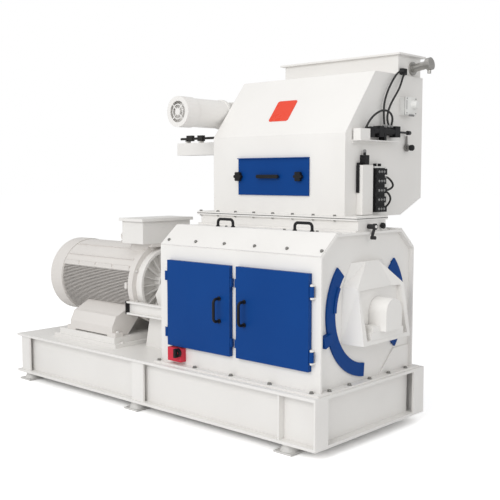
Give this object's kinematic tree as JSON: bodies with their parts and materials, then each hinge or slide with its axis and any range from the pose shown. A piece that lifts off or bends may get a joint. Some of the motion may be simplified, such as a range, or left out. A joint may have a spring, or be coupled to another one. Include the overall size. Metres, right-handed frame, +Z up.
{
  "type": "hammer mill",
  "caption": "Grain hammer mill: motor and hinged-door grinding casing on a welded base, with a slant-front roll feeder, inspection hatch and open inlet collar on top.",
  "frame": {"origin": "on the floor, midway along and across the welded base", "axes": "+X along the rotor shaft from the motor to the mill, -Y the side with the two blue doors, +Z up"},
  "size_m": [3.106, 1.432, 2.384],
  "materials": {
    "white_paint": "satin warm white machine enamel",
    "blue_paint": "satin blue enamel",
    "black_plastic": "matt black moulded plastic",
    "black_steel": "satin black steel",
    "hose_rubber": "matt black hose",
    "bright_steel": "turned and zinc-plated steel",
    "plain_steel": "plain mill steel",
    "hard_steel": "hardened dark steel",
    "dark_iron": "varnished laminated iron",
    "grey_plastic": "grey moulded plastic",
    "grey_rubber": "light grey rubber and painted plate",
    "light_plastic": "light grey moulded box",
    "badge_red": "gloss red plate",
    "switch_red": "gloss red moulded box"
  },
  "bodies": {
    "housing": {"base_frame": "white_paint", "levelling_feet": "grey_rubber", "mill_casing": "white_paint", "slope_covers": "white_paint", "slope_cover_handles": "black_plastic", "casing_bolts": "bright_steel", "door_hinge_brackets": "white_paint", "bearing_bracket": "white_paint", "bearing_housings": "white_paint", "coupling_guard": "white_paint", "motor_frame": "white_paint", "motor_end_shields": "white_paint", "motor_fan_cowl": "white_paint", "motor_stator": "dark_iron", "terminal_box": "white_paint", "terminal_box_lid": "white_paint", "motor_bolts": "white_paint", "neck_chute": "white_paint", "feeder_casing": "white_paint", "inlet_collar": "white_paint", "magnet_bank": "bright_steel", "feeder_gearmotor": "white_paint", "badge_plate": "badge_red", "control_brackets": "white_paint", "valve_island": "black_plastic", "air_hoses": "hose_rubber", "air_cylinder": "black_plastic", "junction_box": "light_plastic", "level_sensor": "bright_steel", "isolator_box": "switch_red"},
    "mill_rotor": {"rotor_shaft": "bright_steel", "rotor_discs": "plain_steel", "hammer_pins": "plain_steel", "bearing_inner_rings": "bright_steel", "coupling_mill_half": "bright_steel"},
    "hammers_1": {"hammer_row_1": "hard_steel"},
    "hammers_2": {"hammer_row_2": "hard_steel"},
    "hammers_3": {"hammer_row_3": "hard_steel"},
    "hammers_4": {"hammer_row_4": "hard_steel"},
    "drive_rotor": {"motor_rotor": "bright_steel", "motor_fan": "grey_plastic"},
    "front_left_leaf": {"front_left_door": "blue_paint", "front_left_door_handle": "black_plastic"},
    "front_right_leaf": {"front_right_door": "blue_paint", "front_right_door_handle": "black_plastic"},
    "rear_left_leaf": {"rear_left_door": "blue_paint"},
    "rear_right_leaf": {"rear_right_door": "blue_paint"},
    "front_sieve": {"front_screen": "plain_steel", "front_screen_cover": "blue_paint"},
    "rear_sieve": {"rear_screen": "plain_steel", "rear_screen_cover": "blue_paint"},
    "dosing_roll": {"feed_roll": "plain_steel"},
    "hatch": {"inspection_hatch": "blue_paint", "hatch_grip": "black_plastic"},
    "stud_knob": {"hatch_stud_knob": "black_plastic"},
    "pivot_knob": {"hatch_pivot_knob": "black_plastic"},
    "piston_rod": {"cylinder_rod": "bright_steel"},
    "flap": {"trap_flap": "plain_steel"},
    "switch_knob": {"isolator_knob": "black_plastic"},
    "lever": {"neck_lever": "black_steel"}
  },
  "joints": [
    {"name": "rotor_spin", "type": "hinge", "parent": "housing", "child": "mill_rotor", "pos_m": [0.77, 0, 0.797], "axis": [1, 0, 0], "continuous": true},
    {"name": "hammer_swing_1", "type": "hinge", "parent": "mill_rotor", "child": "hammers_1", "pos_m": [0.77, 0.18031, 0.97731], "axis": [1, 0, 0], "range_deg": [-60, 60]},
    {"name": "hammer_swing_2", "type": "hinge", "parent": "mill_rotor", "child": "hammers_2", "pos_m": [0.77, -0.18031, 0.97731], "axis": [1, 0, 0], "range_deg": [-60, 60]},
    {"name": "hammer_swing_3", "type": "hinge", "parent": "mill_rotor", "child": "hammers_3", "pos_m": [0.77, -0.18031, 0.61669], "axis": [1, 0, 0], "range_deg": [-60, 60]},
    {"name": "hammer_swing_4", "type": "hinge", "parent": "mill_rotor", "child": "hammers_4", "pos_m": [0.77, 0.18031, 0.61669], "axis": [1, 0, 0], "range_deg": [-60, 60]},
    {"name": "motor_spin", "type": "hinge", "parent": "housing", "child": "drive_rotor", "pos_m": [-0.86, 0, 0.797], "axis": [1, 0, 0], "continuous": true},
    {"name": "front_left_door_swing", "type": "hinge", "parent": "housing", "child": "front_left_leaf", "pos_m": [0.198, -0.5, 0.76], "axis": [0, 0, -1], "range_deg": [0, 110]},
    {"name": "front_right_door_swing", "type": "hinge", "parent": "housing", "child": "front_right_leaf", "pos_m": [1.401, -0.5, 0.76], "axis": [0, 0, 1], "range_deg": [0, 110]},
    {"name": "rear_left_door_swing", "type": "hinge", "parent": "housing", "child": "rear_left_leaf", "pos_m": [0.198, 0.5, 0.76], "axis": [0, 0, 1], "range_deg": [0, 110]},
    {"name": "rear_right_door_swing", "type": "hinge", "parent": "housing", "child": "rear_right_leaf", "pos_m": [1.401, 0.5, 0.76], "axis": [0, 0, -1], "range_deg": [0, 110]},
    {"name": "front_screen_slide", "type": "slide", "parent": "housing", "child": "front_sieve", "axis": [1, 0, 0], "range_m": [0, 1.2]},
    {"name": "rear_screen_slide", "type": "slide", "parent": "housing", "child": "rear_sieve", "axis": [1, 0, 0], "range_m": [0, 1.2]},
    {"name": "feed_roll_spin", "type": "hinge", "parent": "housing", "child": "dosing_roll", "pos_m": [0.72, 0.33, 2.08], "axis": [1, 0, 0], "continuous": true},
    {"name": "hatch_pull", "type": "slide", "parent": "housing", "child": "hatch", "axis": [0, -1, 0], "range_m": [0, 0.15]},
    {"name": "stud_knob_turn", "type": "hinge", "parent": "hatch", "child": "stud_knob", "pos_m": [0.414, -0.045, 1.587], "axis": [0, 1, 0], "continuous": true},
    {"name": "pivot_knob_turn", "type": "hinge", "parent": "hatch", "child": "pivot_knob", "pos_m": [0.931, -0.045, 1.587], "axis": [0, 1, 0], "continuous": true},
    {"name": "trap_flap_swing", "type": "hinge", "parent": "housing", "child": "flap", "pos_m": [0.72, 0.64, 1.774], "axis": [1, 0, 0], "range_deg": [0, 36]},
    {"name": "cylinder_rod_slide", "type": "slide", "parent": "housing", "child": "piston_rod", "axis": [0, 1, 0], "range_m": [-0.06, 0]},
    {"name": "isolator_turn", "type": "hinge", "parent": "housing", "child": "switch_knob", "pos_m": [0.333, -0.54, 0.455], "axis": [0, -1, 0], "range_deg": [0, 90]},
    {"name": "neck_lever_swing", "type": "hinge", "parent": "housing", "child": "lever", "pos_m": [1.46, 0.02, 1.29], "axis": [1, 0, 0], "range_deg": [-90, 0]}
  ],
  "couplings": [
    {"joint": "motor_spin", "follows": "rotor_spin", "ratio": 1},
    {"joint": "cylinder_rod_slide", "follows": "trap_flap_swing", "m_per_rad": -0.094}
  ]
}
